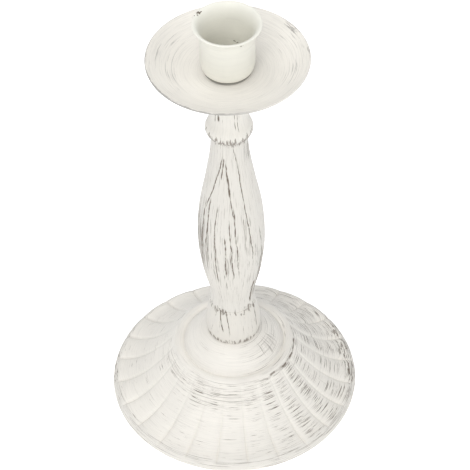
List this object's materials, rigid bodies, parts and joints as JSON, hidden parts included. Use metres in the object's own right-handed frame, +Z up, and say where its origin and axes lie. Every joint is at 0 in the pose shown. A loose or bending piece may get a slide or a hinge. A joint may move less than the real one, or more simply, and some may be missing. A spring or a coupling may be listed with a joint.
{
  "type": "candlestick",
  "caption": "Round-footed candlestick with a fluted foot, a bead, a baluster stem, a beaded neck, a shallow drip pan and a flared candle cup.",
  "frame": {"origin": "centre of the circle that the foot stands on", "axes": "+Z up along the candlestick's axis, from the foot to the candle cup; X and Y are alike"},
  "size_m": [0.1158, 0.1158, 0.2219],
  "materials": {
    "cream_paint_on_wood": "satin cream paint over dark brown, brushed back so that thin brown strokes show",
    "cream_paint_on_metal": "satin cream paint with brushed brown strokes and worn edges",
    "zinc_plated_steel": "zinc plated"
  },
  "bodies": {
    "root": {"fluted_foot": "cream_paint_on_wood", "lower_bead": "cream_paint_on_wood", "stem": "cream_paint_on_wood", "pan_neck": "cream_paint_on_wood", "drip_pan": "cream_paint_on_metal", "cup_spacer": "cream_paint_on_metal", "candle_cup": "cream_paint_on_metal", "cup_washer": "zinc_plated_steel", "cup_nut": "zinc_plated_steel", "tie_rod": "zinc_plated_steel", "foot_washer": "zinc_plated_steel", "foot_lock_washer": "zinc_plated_steel", "foot_nut": "zinc_plated_steel"}
  },
  "joints": []
}
